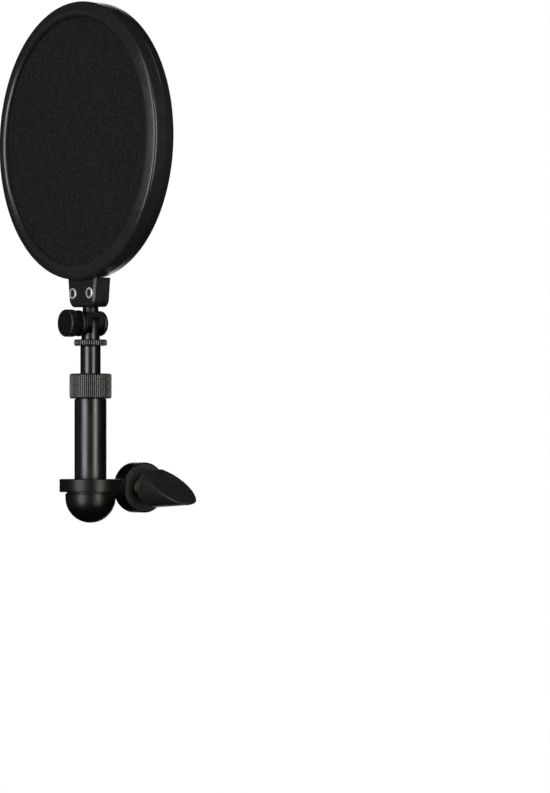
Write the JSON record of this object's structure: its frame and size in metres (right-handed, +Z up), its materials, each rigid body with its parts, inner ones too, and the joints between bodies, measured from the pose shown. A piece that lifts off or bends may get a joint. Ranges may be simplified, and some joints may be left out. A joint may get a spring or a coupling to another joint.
{
  "type": "microphone pop filter",
  "caption": "Round mesh pop filter on a tilting, swivelling head and a telescopic post, with a short arm that a thumb knob clamps to a lug.",
  "frame": {"origin": "on the clamp axis, at the arm's toothed clamping face", "axes": "+Z up along the post, +X along the clamp stud towards the thumb knob, -Y out of the screen's front"},
  "size_m": [0.14, 0.0584, 0.2623],
  "materials": {
    "painted_metal": "satin black powder coat",
    "anodised": "black anodised, fine satin",
    "knurled": "black anodised over cut ribs",
    "moulded_black": "fine grained black plastic",
    "rim_black": "semi-gloss black plastic",
    "block_black": "satin black plastic",
    "mesh_black": "fine woven nylon",
    "nickel": "bright nickel plate",
    "steel_dark": "black oxide steel",
    "steel": "plain steel",
    "brass": "plain brass",
    "nylon": "natural nylon"
  },
  "bodies": {
    "arm": {"arm": "painted_metal", "hub_rosette": "steel_dark", "hub_insert": "brass", "outer_tube": "anodised", "tube_plug": "steel", "dome_washer": "steel_dark", "dome_nut": "painted_metal", "collet": "nylon"},
    "clamp_washer": {"clamp_washer": "steel_dark"},
    "clamp_knob": {"clamp_knob": "moulded_black", "clamp_stud": "steel"},
    "collar": {"collar": "knurled"},
    "post": {"inner_tube": "anodised", "tube_bush": "nylon", "top_insert": "brass"},
    "lock_ring": {"lock_ring": "knurled"},
    "swivel": {"swivel_stud": "anodised"},
    "head": {"fork": "painted_metal", "friction_washers": "moulded_black", "tilt_screw": "steel", "spring_washer": "steel_dark", "pressure_disc": "anodised", "cap_nut": "moulded_black", "block_front": "block_black", "block_back": "block_black", "block_screws": "nickel", "block_nuts": "nickel", "front_rim": "rim_black", "back_rim": "rim_black", "front_hoop": "moulded_black", "back_hoop": "moulded_black", "front_mesh": "mesh_black", "back_mesh": "mesh_black"},
    "tilt_knob": {"tilt_knob": "moulded_black"}
  },
  "joints": [
    {"name": "clamp_washer_slide", "type": "slide", "parent": "arm", "child": "clamp_washer", "axis": [1, 0, 0], "range_m": [0, 0.014]},
    {"name": "clamp_knob_turn", "type": "hinge", "parent": "clamp_washer", "child": "clamp_knob", "pos_m": [0, 0, 0], "axis": [1, 0, 0], "range_deg": [0, 4033]},
    {"name": "collar_turn", "type": "hinge", "parent": "arm", "child": "collar", "pos_m": [-0.005, -0.03, 0.051], "axis": [0, 0, 1], "range_deg": [0, 450]},
    {"name": "post_slide", "type": "slide", "parent": "arm", "child": "post", "axis": [0, 0, 1], "range_m": [-0.0133, 0.023]},
    {"name": "lock_ring_turn", "type": "hinge", "parent": "post", "child": "lock_ring", "pos_m": [-0.005, -0.03, 0.073], "axis": [0, 0, 1], "range_deg": [0, 180]},
    {"name": "head_swivel", "type": "hinge", "parent": "post", "child": "swivel", "pos_m": [-0.005, -0.03, 0.0747], "axis": [0, 0, 1], "range_deg": [-180, 180]},
    {"name": "head_tilt", "type": "hinge", "parent": "swivel", "child": "head", "pos_m": [-0.005, -0.03, 0.0827], "axis": [0, 1, 0], "range_deg": [-55, 55]},
    {"name": "tilt_knob_turn", "type": "hinge", "parent": "head", "child": "tilt_knob", "pos_m": [-0.005, -0.042, 0.0827], "axis": [0, -1, 0], "range_deg": [0, 540]}
  ],
  "couplings": [
    {"joint": "clamp_knob_turn", "follows": "clamp_washer_slide", "rad_per_m": 5026.5}
  ]
}
